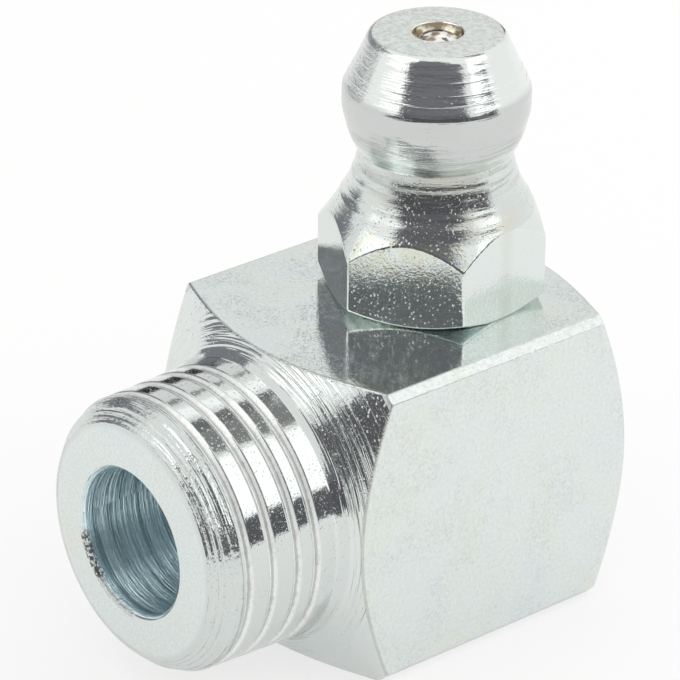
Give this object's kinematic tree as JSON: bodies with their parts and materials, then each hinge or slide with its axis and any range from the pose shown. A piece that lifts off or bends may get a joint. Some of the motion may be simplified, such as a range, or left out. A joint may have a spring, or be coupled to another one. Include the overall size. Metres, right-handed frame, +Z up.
{
  "type": "grease nipple",
  "caption": "Right-angle grease nipple: a hexagon ball-valve nipple screwed into a square-bar elbow that has a short tapered thread.",
  "frame": {"origin": "on the axis of the tapered thread, in the gauge plane 2.5 mm from the spigot's end", "axes": "-Y out along the threaded spigot, +Z up through the nipple's head, X across the square bar"},
  "size_m": [0.011, 0.0176, 0.0205],
  "materials": {
    "elbow_body": "bright zinc plate over turned and drawn steel",
    "hex_nipple": "bright zinc plate over turned steel",
    "check_ball": "polished",
    "valve_spring": "drawn spring wire"
  },
  "bodies": {
    "fitting": {"elbow_body": "elbow_body", "hex_nipple": "hex_nipple", "valve_spring": "valve_spring"},
    "ball": {"check_ball": "check_ball"}
  },
  "joints": [
    {"name": "ball_lift", "type": "slide", "parent": "fitting", "child": "ball", "axis": [0, 0, -1], "range_m": [0, 0.0075], "stiffness_N_per_m": 620, "springref_m": -0.0015, "deforming": ["valve_spring"]}
  ]
}
